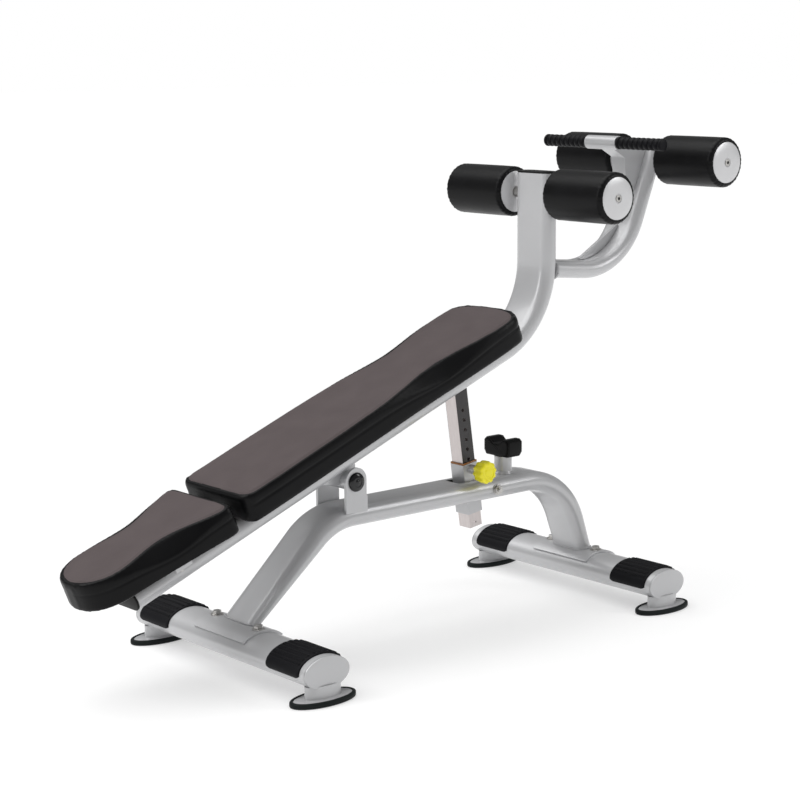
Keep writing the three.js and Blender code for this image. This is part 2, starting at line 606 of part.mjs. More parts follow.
const COIL = { radius: 6.4, wire: 0.6, turns: 4, length: 7.2 };
class CoilRoute extends THREE.Curve {
  getPoint(t) {
    const a = 2 * Math.PI * COIL.turns * t;
    return new THREE.Vector3(COIL.radius * Math.cos(a), -COIL.length * t, COIL.radius * Math.sin(a));
  }
}
const wire = oval(2 * COIL.wire, 2 * COIL.wire, 4);
const coil = new THREE.ExtrudeGeometry(wire, { steps: 40, extrudePath: new CoilRoute() });
add(link, 'pin_spring', coil.translate(0, -PIN_OUT - 13.6, -PIN_DROP), STEEL);

export default bench;
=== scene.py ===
import math

import bmesh
import bpy
import numpy as np
from mathutils import Matrix, Vector


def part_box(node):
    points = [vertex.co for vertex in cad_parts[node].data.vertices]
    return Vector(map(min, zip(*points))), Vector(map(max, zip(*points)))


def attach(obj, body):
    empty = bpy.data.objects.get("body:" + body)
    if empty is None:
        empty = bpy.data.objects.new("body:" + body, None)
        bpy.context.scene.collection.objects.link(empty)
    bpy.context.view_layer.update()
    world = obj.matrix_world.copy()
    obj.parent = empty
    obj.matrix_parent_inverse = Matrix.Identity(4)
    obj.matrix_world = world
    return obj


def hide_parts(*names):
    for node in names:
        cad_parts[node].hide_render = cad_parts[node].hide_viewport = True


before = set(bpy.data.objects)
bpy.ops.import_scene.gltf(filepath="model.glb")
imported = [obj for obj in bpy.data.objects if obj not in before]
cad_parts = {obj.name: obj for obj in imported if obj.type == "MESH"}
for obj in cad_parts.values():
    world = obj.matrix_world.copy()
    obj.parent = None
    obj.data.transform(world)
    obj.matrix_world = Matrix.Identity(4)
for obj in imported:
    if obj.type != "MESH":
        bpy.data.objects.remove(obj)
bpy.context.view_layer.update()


# ---- camera, floor and light ----
# The bench stands on a plain pale floor in soft studio light.
# Lengths below run from the middle of the front crossbar, at floor height, in metres.
def middle(node):
    low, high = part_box(node)
    return (low + high) / 2


FRONT = middle("front_crossbar").x
scene = bpy.context.scene


def at(x, y, z):
    return Vector((FRONT + x, y, z))


camera = bpy.data.objects.new("camera", bpy.data.cameras.new("camera"))
scene.collection.objects.link(camera)
camera.data.lens = 89.42
camera.data.sensor_width = 36
camera.data.clip_end = 200
CAMERA_TURN = math.radians(-40.455)
CAMERA_TILT = math.radians(90 - 9.961)
CAMERA_ROLL = math.radians(-0.2965)
turn = Matrix.Rotation(CAMERA_TURN, 4, "Z") @ Matrix.Rotation(CAMERA_TILT, 4, "X")
roll = Matrix.Rotation(CAMERA_ROLL, 4, "Z")
camera.matrix_world = Matrix.Translation(at(-2.5835, -3.6109, 1.4044)) @ turn @ roll
scene.camera = camera


def soft_light(name, place, size, power):
    light = bpy.data.lights.new(name, "AREA")
    light.shape = "RECTANGLE"
    light.size, light.size_y = size
    light.energy = power
    lamp = bpy.data.objects.new(name, light)
    scene.collection.objects.link(lamp)
    lamp.location = place
    lamp.rotation_euler = (Vector((0, 0, 0.5)) - place).to_track_quat("-Z", "Y").to_euler()


soft_light("left_softbox", Vector((-3.2, 0.9, 2.3)), (1.0, 2.4), 26)
soft_light("right_softbox", Vector((2.6, -2.6, 2.5)), (0.9, 2.2), 30)

sky = bpy.data.lights.new("overhead_canopy", "SUN")
sky.energy = 2.3
sky.angle = math.radians(70)
canopy = bpy.data.objects.new("overhead_canopy", sky)
scene.collection.objects.link(canopy)
canopy.rotation_euler = (math.radians(-12), math.radians(-14), 0)

world = bpy.data.worlds.new("studio")
world.use_nodes = True
background = world.node_tree.nodes["Background"]
background.inputs["Color"].default_value = (1, 1, 1, 1)
ROOM_LIGHT = 0.26
seen = world.node_tree.nodes.new("ShaderNodeLightPath")
level = world.node_tree.nodes.new("ShaderNodeMapRange")
level.inputs["To Min"].default_value = ROOM_LIGHT
level.inputs["To Max"].default_value = 1.0
world.node_tree.links.new(seen.outputs["Is Camera Ray"], level.inputs["Value"])
world.node_tree.links.new(level.outputs["Result"], background.inputs["Strength"])
scene.world = world
scene.view_settings.view_transform = "Standard"


# ---- crossbars: front and rear oval steel tubes across the bench, with end plates ----
# Each is a painted oval tube 666 mm long, closed by a flat welded plate at each end.
# The finish is a light silver powder coat with a fine orange peel under a clear gloss.
class Channel:
    """A value in a finish. Arithmetic on it adds Math nodes."""

    def __init__(self, finish, socket):
        self.finish = finish
        self.socket = socket

    def math(self, operation, first, second):
        return self.finish.node("ShaderNodeMath", {"operation": operation}, {0: first, 1: second})

    def __add__(self, other):
        return self.math("ADD", self, other)

    def __sub__(self, other):
        return self.math("SUBTRACT", self, other)

    def __rsub__(self, other):
        return self.math("SUBTRACT", other, self)

    def __mul__(self, other):
        return self.math("MULTIPLY", self, other)

    def __abs__(self):
        return self.finish.node("ShaderNodeMath", {"operation": "ABSOLUTE"}, {0: self})

    __radd__ = __add__
    __rmul__ = __mul__


class Finish:
    """A node material round one Principled shader."""

    def __init__(self, name, **constants):
        self.material = bpy.data.materials.new(name)
        self.material.use_nodes = True
        self.tree = self.material.node_tree
        self.shader = self.tree.nodes["Principled BSDF"]
        for socket, value in constants.items():
            self.shader.inputs[socket.replace("_", " ")].default_value = value

    def put(self, socket, value):
        if isinstance(value, Channel):
            self.tree.links.new(value.socket, socket)
        else:
            socket.default_value = value

    def node(self, kind, settings, inputs, output=0):
        made = self.tree.nodes.new(kind)
        for key, value in settings.items():
            setattr(made, key, value)
        for key, value in inputs.items():
            self.put(made.inputs[key], value)
        return Channel(self, made.outputs[output])

    def place(self):
        return self.node("ShaderNodeTexCoord", {}, {}, "Object")

    def reach(self, way):
        """Distance of each point along a direction."""
        inputs = {0: self.place(), 1: tuple(way)}
        return self.node("ShaderNodeVectorMath", {"operation": "DOT_PRODUCT"}, inputs, 1)

    def noise(self, scale, detail=2.0, stretch=None):
        where = self.place()
        if stretch:
            where = self.node("ShaderNodeVectorMath", {"operation": "MULTIPLY"}, {0: where, 1: stretch})
        return self.node("ShaderNodeTexNoise", {}, {"Vector": where, "Scale": scale, "Detail": detail}, 0)

    def blend(self, mask, low, high):
        return self.node("ShaderNodeMix", {"data_type": "RGBA"}, {0: mask, 6: low, 7: high}, 2)

    def band(self, value, low, high):
        """0 at low, 1 at high, and smooth between."""
        inputs = {0: value, 1: low, 2: high, 3: 0.0, 4: 1.0}
        return self.node("ShaderNodeMapRange", {"interpolation_type": "SMOOTHSTEP"}, inputs, 0)

    def feed(self, socket, value):
        self.put(self.shader.inputs[socket], value)

    def relief(self, height, depth, strength=0.5):
        inputs = {"Strength": strength, "Distance": depth, "Height": height}
        self.feed("Normal", self.node("ShaderNodeBump", {}, inputs, 0))


PAINT_DEEP = (0.50, 0.502, 0.512, 1)
PAINT_LIGHT = (0.57, 0.572, 0.582, 1)
PAINT_METALLIC = 0.28


def silver_powder_coat():
    paint = Finish("silver_powder_coat", Metallic=PAINT_METALLIC, Coat_Weight=0.45, Coat_Roughness=0.12)
    cloud = paint.noise(7.0, 3.0)
    paint.feed("Base Color", paint.blend(cloud, PAINT_DEEP, PAINT_LIGHT))
    paint.feed("Roughness", 0.30 + 0.10 * paint.noise(60.0))
    paint.relief(paint.noise(900.0, 1.0), 0.0002, 0.12)
    return paint


PAINT = silver_powder_coat()


def shaped(name, rings, finish, body, stands_for=(), caps=True):
    """A surface laid over rings of points, each closed on itself, and capped at both ends."""
    count = len(rings[0])
    mesh = bpy.data.meshes.new(name)
    faces = []
    for i in range(len(rings) - 1):
        for k in range(count):
            j = (k + 1) % count
            faces.append((i * count + k, i * count + j, (i + 1) * count + j, (i + 1) * count + k))
    if caps:
        faces.append(tuple(reversed(range(count))))
        faces.append(tuple(range((len(rings) - 1) * count, len(rings) * count)))
    mesh.from_pydata([tuple(point) for ring in rings for point in ring], [], faces)
    return finished(name, mesh, finish, body, stands_for)


def finished(name, mesh, finish, body, stands_for=(), sharp=38):
    """Links the mesh with its faces pointing out, smooth but for its real edges, and fixes it to a body."""
    work = bmesh.new()
    work.from_mesh(mesh)
    bmesh.ops.remove_doubles(work, verts=work.verts, dist=1e-6)
    bmesh.ops.recalc_face_normals(work, faces=work.faces)
    work.to_mesh(mesh)
    work.free()
    mesh.shade_smooth()
    mesh.set_sharp_from_angle(angle=math.radians(sharp))
    made = bpy.data.objects.new(name, mesh)
    scene.collection.objects.link(made)
    mesh.materials.append(finish.material)
    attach(made, body)
    if stands_for:
        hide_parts(*stands_for)
    return made


BAR_WIDTH = 0.125
BAR_DEPTH = 0.075
BAR_HALF = 0.333
BAR_Z = 0.068
REAR = middle("rear_crossbar").x - FRONT
CROSSBARS = (("front", 0.0), ("rear", REAR))


def bar_ring(x, y, grow=0.0, count=72):
    points = []
    for i in range(count):
        a = 2 * math.pi * i / count
        across = (BAR_WIDTH / 2 + grow) * math.cos(a)
        points.append(at(x + across, y, BAR_Z + (BAR_DEPTH / 2 + grow) * math.sin(a)))
    return points


WELD = 0.0012
for place, x in CROSSBARS:
    ends = BAR_HALF - 0.0046
    shaped(f"{place}_bar", [bar_ring(x, -ends), bar_ring(x, ends)], PAINT, "base",
           [f"{place}_crossbar"])
    for side, sign in (("left", 1), ("right", -1)):
        steps = ((0.0043, -WELD), (0.0034, 0.0), (0.0010, 0.0), (0.0002, -0.0006), (0.0, -0.0018))
        rings = [bar_ring(x, sign * (BAR_HALF - back), grow) for back, grow in steps]
        shaped(f"{place}_{side}_plate", rings, PAINT, "base", [f"{place}_{side}_end_plate"])


# ---- saddle plates and their bolts ----
# A curved steel plate lies on each crossbar, welded to the end of the base tube.
# Two zinc hex bolts with washers hold it down, one on each side of the tube.
def plain_steel(name, colour, rough, grain=(1, 1, 1)):
    steel = Finish(name, Metallic=1.0)
    streak = steel.noise(160.0, 3.0, grain)
    dark = tuple(0.82 * c for c in colour)
    steel.feed("Base Color", steel.blend(streak, (*dark, 1), (*colour, 1)))
    steel.feed("Roughness", rough + 0.16 * streak)
    steel.relief(streak, 0.0002, 0.15)
    return steel


ZINC = plain_steel("zinc_bolt", (0.56, 0.55, 0.53), 0.24)
SADDLE_HALF = 0.098
SADDLE_REACH = math.radians(56)
SADDLE_THICK = 0.006


def sheet_ring(x, y, inside, outside, reach, count=28):
    """Section of a curved sheet over the top of a crossbar."""
    ring = []
    for grow, sign in ((inside, 1), (outside, -1)):
        for i in range(count + 1):
            a = math.pi / 2 + sign * reach * (1 - 2 * i / count)
            across = (BAR_WIDTH / 2 + grow) * math.cos(a)
            ring.append(at(x + across, y, BAR_Z + (BAR_DEPTH / 2 + grow) * math.sin(a)))
    return ring


def turned(name, profile, centre, axis, finish, body, stands_for=(), sides=48, lobes=None):
    """A turned piece: profile gives (radius, distance along the axis); lobes may vary the radius round it."""
    towards = axis.normalized()
    across = towards.orthogonal().normalized()
    other = towards.cross(across)
    rings = []
    for radius, along in profile:
        ring = []
        for i in range(sides):
            a = 2 * math.pi * i / sides
            r = radius + (lobes(a, radius, along) if lobes else 0)
            ring.append(centre + towards * along + across * (r * math.cos(a)) + other * (r * math.sin(a)))
        rings.append(ring)
    return shaped(name, rings, finish, body, stands_for)


def hex_bolt(name, centre, axis, body, across_flats=0.019, washer=0.0150, nut=False):
    """A washer and a chamfered hex head on it, as one fastener. A nut also shows the end of its thread."""
    radius = across_flats / 2 / math.cos(math.pi / 6)
    turned(f"{name}_washer",
           ((washer - 0.0004, 0.0), (washer, 0.0004), (washer, 0.0018), (washer - 0.0004, 0.0022)),
           centre, axis, ZINC, body)
    profile = ((radius, 0.0024), (radius, 0.0082), (radius * 0.9, 0.0098))
    turned(f"{name}_head", profile, centre, axis, ZINC, body, sides=6)
    if nut:
        thread = tuple((0.0058 - 0.0005 * (i % 2), 0.0099 + 0.0006 * i) for i in range(9))
        turned(f"{name}_thread", thread, centre, axis, ZINC, body, sides=24)


UP = Vector((0, 0, 1))
ACROSS = Vector((0, 1, 0))
BOLT_Y = 0.081
for place, x in CROSSBARS:
    rings = []
    for y, shrink in ((-1, 0.0014), (-1, 0.0), (1, 0.0), (1, 0.0014)):
        edge = SADDLE_HALF - (0.0014 if shrink == 0.0 else 0.0)
        rings.append(sheet_ring(x, y * edge, 0.0003, SADDLE_THICK - shrink, SADDLE_REACH))
    shaped(f"{place}_saddle", rings, PAINT, "base", [f"{place}_saddle_plate"])
    for side, sign in (("left", 1), ("right", -1)):
        top = BAR_Z + BAR_DEPTH / 2 + SADDLE_THICK - 0.0004
        hex_bolt(f"{place}_{side}_saddle_bolt", at(x, sign * BOLT_Y, top), UP, "base")


# ---- treads: moulded black rubber covers near the ends of the crossbars ----
# Each wraps over the bar, with a plain lower band and toothed ribs along its top for grip.
def black_rubber(name, colour, rough, speckle):
    rubber = Finish(name, Specular_IOR_Level=0.12)
    dust = rubber.noise(35.0, 4.0)
    light = tuple(min(1.0, 1.9 * c) for c in colour)
    rubber.feed("Base Color", rubber.blend(dust, (*colour, 1), (*light, 1)))
    rubber.feed("Roughness", rough + 0.18 * dust)
    rubber.relief(rubber.noise(speckle, 2.0), 0.0003, 0.35)
    return rubber


RUBBER = black_rubber("tread_rubber", (0.004, 0.004, 0.005), 0.42, 700.0)
TREAD_FROM = 0.192
TREAD_TO = 0.312
TREAD_REACH = math.radians(100)
RIBBED = math.radians(62)
RIBS = 9
TEETH = 24


def tread_ring(x, y, thick, rib, reach):
    """Section of a tread: smooth inside, ribbed over the top."""
    inner = []
    outer = []
    steps = 150
    for i in range(steps + 1):
        a = reach * (1 - 2 * i / steps)
        edge = min(1.0, (1 - abs(a) / reach) * 9)
        grow = 0.0004 + thick * (0.35 + 0.65 * math.sqrt(edge))
        if abs(a) < RIBBED:
            phase = (a / RIBBED + 1) / 2 * RIBS
            grow += rib * min(1.0, max(0.0, 2.2 * math.sin(math.pi * (phase % 1.0)) - 0.7))
        for grown, ring in ((0.0003, inner), (grow, outer)):
            turn_to = math.pi / 2 + a
            across = (BAR_WIDTH / 2 + grown) * math.cos(turn_to)
            ring.append(at(x + across, y, BAR_Z + (BAR_DEPTH / 2 + grown) * math.sin(turn_to)))
    return inner + outer[::-1]


for place, x in CROSSBARS:
    for side, sign in (("left", 1), ("right", -1)):
        rings = []
        length = TREAD_TO - TREAD_FROM
        stations = [0.0, 0.0008, 0.002, 0.005]
        stations += [0.007 + (length - 0.014) * i / (3 * TEETH) for i in range(3 * TEETH + 1)]
        stations += [length - 0.005, length - 0.002, length - 0.0008, length]
        for i, along in enumerate(stations):
            from_end = min(along, length - along)
            rounding = math.sqrt(min(1.0, from_end / 0.003 + 0.08))
            tooth = 0.0024 if i % 3 else 0.0011
            rib = tooth if from_end > 0.0065 else 0.0
            corner = min(1.0, 0.90 + 0.10 * math.sqrt(min(1.0, from_end / 0.012)))
            rings.append(tread_ring(x, sign * (TREAD_FROM + along), 0.0036 * rounding, rib,
                                    TREAD_REACH * corner))
        shaped(f"{place}_{side}_tread_cover", rings, RUBBER, "base",
               [f"{place}_{side}_tread"])


# ---- feet: oval stubs with a flange, and the rubber ring each stands on ----
# The stub is welded under the crossbar. Its flange is pressed into an oval rubber foot.
FOOT_Y = 0.315
FOOT_RUBBER = black_rubber("foot_rubber", (0.007, 0.009, 0.009), 0.45, 500.0)


def floor_oval(x, y, half, half_width, z, count=64):
    points = []
    for i in range(count):
        a = 2 * math.pi * i / count
        points.append(at(x + half * math.cos(a), y + half_width * math.sin(a), z))
    return points


for place, x in CROSSBARS:
    for side, sign in (("left", 1), ("right", -1)):
        y = sign * FOOT_Y
        stub = [(0.0774, 0.0344, 0.0064), (0.078, 0.035, 0.0072), (0.078, 0.035, 0.0102),
                (0.0772, 0.0342, 0.0108), (0.0530, 0.0268, 0.0110), (0.0494, 0.0232, 0.0125),
                (0.0482, 0.0221, 0.0160), (0.048, 0.022, 0.0405)]
        rings = [floor_oval(x, y, *step) for step in stub]
        shaped(f"{place}_{side}_foot", rings, PAINT, "base", [f"{place}_{side}_foot_stub"])
        rubber = [(0.0786, 0.0355, 0.0060), (0.0786, 0.0355, 0.0116), (0.0794, 0.0363, 0.0121),
                  (0.0832, 0.0401, 0.0121), (0.0858, 0.0426, 0.0108), (0.087, 0.0437, 0.0085),
                  (0.087, 0.0437, 0.0028), (0.0862, 0.0429, 0.0008), (0.0846, 0.0414, 0.0),
                  (0.0700, 0.0280, 0.0)]
        rings = [floor_oval(x, y, *step) for step in rubber]
        shaped(f"{place}_{side}_foot_ring", rings, FOOT_RUBBER, "base",
               [f"{place}_{side}_rubber_foot"])


# ---- base tube: one bent flat-oval tube from the front crossbar to the rear one ----
# A short steep front leg, a level run under the boom and a steep rear leg, bent from one length.
# The run is slotted for the adjusting sleeve, and the sleeve's swivel bolt crosses it.
TUBE_WIDTH = 0.118
TUBE_DEPTH = 0.050
RUN_Z = 0.318
FRONT_LEG = math.radians(41)
REAR_LEG = math.radians(70)
RISE = RUN_Z - 0.105


def bent_route(corners, step=math.radians(2.5)):
    """Points and directions along straight runs joined by bends: corners are (x, z, bend radius)."""
    spots = [Vector(c[:2]) for c in corners]
    route = [(spots[0], (spots[1] - spots[0]).normalized())]
    for i in range(1, len(spots) - 1):
        before = (spots[i] - spots[i - 1]).normalized()
        after = (spots[i + 1] - spots[i]).normalized()
        angle = math.atan2(before.x * after.y - before.y * after.x, before.dot(after))
        radius = corners[i][2]
        start = spots[i] - before * (radius * math.tan(abs(angle) / 2))
        centre = start + Vector((-before.y, before.x)) * math.copysign(radius, angle)
        count = max(2, int(abs(angle) / step))
        for k in range(count + 1):
            spin = Matrix.Rotation(angle * k / count, 2)
            route.append((centre + spin @ (start - centre), spin @ before))
    route.append((spots[-1], (spots[-1] - spots[-2]).normalized()))
    return route


def tube_rings(route, width, depth, arc=16):
    """Flat-oval section along a route, with its width across the bench."""
    rings = []
    flat = (width - depth) / 2
    for spot, way in route:
        ring = []
        for side in (1, -1):
            for k in range(arc + 1):
                a = -math.pi / 2 + math.pi * k / arc
                off = side * depth / 2 * math.sin(a)
                y = side * (flat + depth / 2 * math.cos(a))
                ring.append(at(spot.x - way.y * off, y, spot.y + way.x * off))
        rings.append(ring)
    return rings


def carve(piece, name, low, high, spin=None):
    """Takes a box-shaped cut out of a piece."""
    cutter_mesh = bpy.data.meshes.new(name)
    work = bmesh.new()
    bmesh.ops.create_cube(work, size=1.0)
    size = Vector(high) - Vector(low)
    bmesh.ops.scale(work, verts=work.verts, vec=size)
    if spin:
        bmesh.ops.rotate(work, verts=work.verts, matrix=spin)
    bmesh.ops.translate(work, verts=work.verts, vec=(Vector(high) + Vector(low)) / 2)
    work.to_mesh(cutter_mesh)
    work.free()
    cutter = bpy.data.objects.new(name, cutter_mesh)
    scene.collection.objects.link(cutter)
    cut = piece.modifiers.new(name, "BOOLEAN")
    cut.object = cutter
    cut.solver = "EXACT"
    done = bpy.data.meshes.new_from_object(piece.evaluated_get(bpy.context.evaluated_depsgraph_get()))
    piece.modifiers.clear()
    piece.data = done
    done.set_sharp_from_angle(angle=math.radians(38))
    bpy.data.objects.remove(cutter)


FRONT_END = 0.006
REAR_END = REAR - 0.004
START_Z = 0.112
base_route = bent_route([
    (FRONT_END + (START_Z - 0.105) / math.tan(FRONT_LEG), START_Z),
    (FRONT_END + RISE / math.tan(FRONT_LEG), RUN_Z, 0.170),
    (REAR_END - RISE / math.tan(REAR_LEG), RUN_Z, 0.190),
    (REAR_END - (START_Z - 0.105) / math.tan(REAR_LEG), START_Z),
])
rings = tube_rings(base_route, TUBE_WIDTH, TUBE_DEPTH)


def seat_on_bar(ring, x):
    """Ends a leg on the curve of the saddle plate under it."""
    seated = []
    for point in ring:
        across = (point.x - FRONT - x) / (BAR_WIDTH / 2 + SADDLE_THICK + 0.0006)
        drop = math.sqrt(max(0.05, 1 - across * across))
        seated.append(Vector((point.x, point.y, BAR_Z + (BAR_DEPTH / 2 + SADDLE_THICK + 0.0006) * drop)))
    return seated


rings[0] = seat_on_bar(rings[0], 0.0)
rings[-1] = seat_on_bar(rings[-1], REAR)
SLOT_FROM = 0.664
SLOT_TO = 0.786
SLOT_HALF = 0.026


def slot_shaded_paint():
    """The silver powder coat, with painted shade: the inside walls of the slot are painted near black, for
    the shade inside the recess.
    """
    paint = silver_powder_coat()
    along, across, height = [paint.reach(way) for way in (Vector((1, 0, 0)), ACROSS, UP)]
    start = FRONT + SLOT_FROM
    end = FRONT + SLOT_TO
    top = RUN_Z + TUBE_DEPTH / 2
    # inside is a painted shade mask, 1 on the inside walls of the slot.
    inside = paint.band(along, start - 0.0012, start - 0.0004)
    inside = inside - paint.band(along, end + 0.0004, end + 0.0012)
    inside = inside * (1 - paint.band(abs(across), SLOT_HALF + 0.0003, SLOT_HALF + 0.0006))
    inside = inside * (1 - paint.band(height, top - 0.0022, top - 0.0016))
    coat = paint.blend(paint.noise(7.0, 3.0), PAINT_DEEP, PAINT_LIGHT)
    # Painted shade: the slot walls are painted near black and less metallic, in place of the shade in the
    # recess.
    paint.feed("Base Color", paint.blend(inside, coat, (0.012, 0.012, 0.012, 1)))
    paint.feed("Metallic", PAINT_METALLIC - PAINT_METALLIC * inside)
    return paint


base = shaped("base_frame_tube", rings, slot_shaded_paint(), "base", ["base_tube"])
carve(base, "sleeve_slot", at(SLOT_FROM, -SLOT_HALF, RUN_Z - 0.06), at(SLOT_TO, SLOT_HALF, RUN_Z + 0.06))

WELD_BEAD = Finish("weld_bead", Metallic=PAINT_METALLIC, Coat_Weight=0.4, Coat_Roughness=0.2)
WELD_BEAD.feed("Base Color", (0.49, 0.492, 0.502, 1))
WELD_BEAD.feed("Roughness", 0.34 + 0.1 * WELD_BEAD.noise(80.0))
WELD_BEAD.relief(WELD_BEAD.noise(260.0, 2.0), 0.0006, 0.5)


def weld_bead(name, path, thick, body):
    """A rippled bead of weld that follows a closed path."""
    count = len(path)
    rings = []
    for i in range(count):
        along = (path[(i + 1) % count] - path[i - 1]).normalized()
        side = along.cross(UP).normalized() if abs(along.z) < 0.95 else along.orthogonal().normalized()
        rise = side.cross(along)
        bulge = thick * (1 + 0.12 * math.sin(i * 1.9))
        rings.append([path[i] + side * (bulge * math.cos(math.tau * k / 8))
                      + rise * (bulge * math.sin(math.tau * k / 8)) for k in range(8)])
    rings.append(rings[0])
    return shaped(name, rings, WELD_BEAD, body, caps=False)


def denser(ring, parts=3):
    return [a.lerp(b, k / parts) for a, b in zip(ring, ring[1:] + ring[:1]) for k in range(parts)]


for name, ring in (("front_leg_weld", rings[0]), ("rear_leg_weld", rings[-1])):
    weld_bead(name, denser([point + UP * 0.001 for point in ring]), 0.0026, "base")


# ---- carried-over steel parts: ears, hanger, gusset, stem, straps, sleeve and the like ----
# Cut plates and tubes keep their own shape; their edges are eased as a deburred edge is.
def ease(node, finish, edge=0.0008):
    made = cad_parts[node]
    made.data.materials.clear()
    made.data.materials.append(finish.material)
    made.data.shade_smooth()
    weld = made.modifiers.new("joined", "WELD")
    weld.merge_threshold = 1e-5
    bevel = made.modifiers.new("eased_edges", "BEVEL")
    bevel.width = edge
    bevel.segments = 2
    bevel.limit_method = "ANGLE"
    bevel.angle_limit = math.radians(40)
    even = made.modifiers.new("even_shading", "WEIGHTED_NORMAL")
    even.keep_sharp = True


for node in ("left_pivot_ear", "right_pivot_ear", "pivot_hanger", "arm_gusset", "handle_stem",
             "adjusting_sleeve", "head_pad_strap", "lower_pad_strap", "upper_pad_strap", "pivot_tube"):
    ease(node, PAINT)
for node in ("pivot_pin", "link_pin", "knee_axle", "ankle_axle", "pull_pin"):
    ease(node, ZINC, 0.0004)
ease("pin_spring", ZINC, 0.0001)


# ---- pivot caps, the stop and the swivel bolt ----
# Glossy black domes cover the ends of the pivot pin, outside the two ears.
# A grooved rubber block on a round grey stub stands just clear of the boom at its lowest hole.
# The sleeve's swivel bolt crosses the base tube, with a washer and a hex at each end.
GLOSS_BLACK = Finish("gloss_black_cap", Roughness=0.14, Specular_IOR_Level=0.35, Coat_Weight=0.2,
                     Coat_Roughness=0.05)
GLOSS_BLACK.feed("Base Color", GLOSS_BLACK.blend(GLOSS_BLACK.noise(30.0), (0.003, 0.003, 0.004, 1),
                                                 (0.006, 0.006, 0.007, 1)))
GLOSS_BLACK.relief(GLOSS_BLACK.noise(300.0, 1.0), 0.0001, 0.1)
EAR_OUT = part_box("left_pivot_ear")[1].y
pivot = middle("pivot_pin")
DOME = ((0.0229, 0.0004), (0.0230, 0.0022), (0.0222, 0.0040), (0.0200, 0.0058), (0.0160, 0.0076),
        (0.0128, 0.0083), (0.0114, 0.0084), (0.0108, 0.0074), (0.0062, 0.0072), (0.0050, 0.0080),
        (0.0022, 0.0086))
for side, sign in (("left", 1), ("right", -1)):
    centre = Vector((pivot.x, sign * EAR_OUT, pivot.z))
    turned(f"{side}_pivot_dome", DOME, centre, Vector((0, sign, 0)), GLOSS_BLACK, "base",
           [f"{side}_pivot_cap"], sides=64)

STOP_RUBBER = black_rubber("stop_rubber", (0.003, 0.003, 0.003), 0.30, 260.0)
ease("stop_block", STOP_RUBBER, 0.003)
low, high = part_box("stop_stub")
stub_centre = Vector(((low.x + high.x) / 2, 0, low.z))
height = high.z - low.z
turned("stop_post", ((0.0275, 0.0), (0.0268, 0.0020), (0.0240, 0.0040), (0.0226, 0.0070),
                     (0.0225, height - 0.001), (0.0217, height)),
       stub_centre, UP, PAINT, "base", ["stop_stub"], sides=64)

swivel = middle("swivel_bolt")
SWIVEL_REACH = TUBE_WIDTH / 2 + 0.0003
shank = ((0.0056, 0.0), (0.0060, 0.0004), (0.0060, 2 * SWIVEL_REACH - 0.0004), (0.0056, 2 * SWIVEL_REACH))
turned("swivel_shank", shank, swivel - ACROSS * SWIVEL_REACH, ACROSS, ZINC, "base",
       ["swivel_bolt"], sides=32)
for side, sign, nut in (("left", 1, False), ("right", -1, True)):
    hex_bolt(f"swivel_{side}", swivel + ACROSS * (sign * SWIVEL_REACH), ACROSS * sign, "base",
             0.0205, 0.0142, nut)


# ---- boom and post: one bent flat-oval tube that carries the pads and the knee rollers ----
# It slopes up from the head end, turns up through a wide bend and ends in the upright post.
# A plastic cap closes each end, and a pocket under it takes the top of the adjusting post.
INCLINE = math.radians(21.5)
ALONG = Vector((math.cos(INCLINE), 0, math.sin(INCLINE)))
OUT = Vector((-math.sin(INCLINE), 0, math.cos(INCLINE)))
BOOM_RISE = 0.059
BOOM_END = -0.636
POST_X = middle("post_cap").x - FRONT
POST_TOP = 1.100
POST_BEND = 0.230


def on_boom(s, y, n):
    """A point s up the slope from the pivot, y across, and n square to the slope."""
    return pivot + ALONG * s + ACROSS * y + OUT * n


def flat_spot(point):
    return point.x - FRONT, point.z


elbow = (POST_X - (pivot.x - FRONT) + BOOM_RISE * math.sin(INCLINE)) / math.cos(INCLINE)
boom_route = bent_route([
    flat_spot(on_boom(BOOM_END, 0, BOOM_RISE)),
    (*flat_spot(on_boom(elbow, 0, BOOM_RISE)), POST_BEND),
    (POST_X, POST_TOP),
])
boom = shaped("boom_and_post", tube_rings(boom_route, TUBE_WIDTH, TUBE_DEPTH), PAINT, "boom",
              ["boom_tube"])
pocket = on_boom(0.409, 0, BOOM_RISE - TUBE_DEPTH / 2)
half_pocket = Vector((0.032, 0.022, 0.015))
carve(boom, "post_pocket", pocket - half_pocket, pocket + half_pocket, Matrix.Rotation(-INCLINE, 3, "Y"))

CAP_BLACK = black_rubber("cap_black", (0.008, 0.008, 0.008), 0.32, 420.0)
CAP_STEPS = ((0.0003, 0.0004), (0.0008, 0.0), (0.0034, 0.0), (0.0046, 0.0009), (0.0052, 0.0026))


def oval_cap(name, centre, outward, width_way, stands_for):
    """A flat-oval cap pushed into the end of a tube, with a soft outer edge."""
    depth_way = outward.cross(width_way)
    rings = []
    for out, inset in CAP_STEPS:
        ring = []
        radius = TUBE_DEPTH / 2 - inset
        for side in (1, -1):
            for k in range(25):
                a = -math.pi / 2 + math.pi * k / 24
                wide = side * ((TUBE_WIDTH - TUBE_DEPTH) / 2 + radius * math.cos(a))
                ring.append(centre + outward * out + width_way * wide
                            + depth_way * (side * radius * math.sin(a)))
        rings.append(ring)
    shaped(name, rings, CAP_BLACK, "boom", [stands_for])


oval_cap("post_top_cap", at(POST_X, 0, POST_TOP), UP, ACROSS, "post_cap")
oval_cap("boom_low_cap", on_boom(BOOM_END, 0, BOOM_RISE), -ALONG, ACROSS, "boom_end_cap")


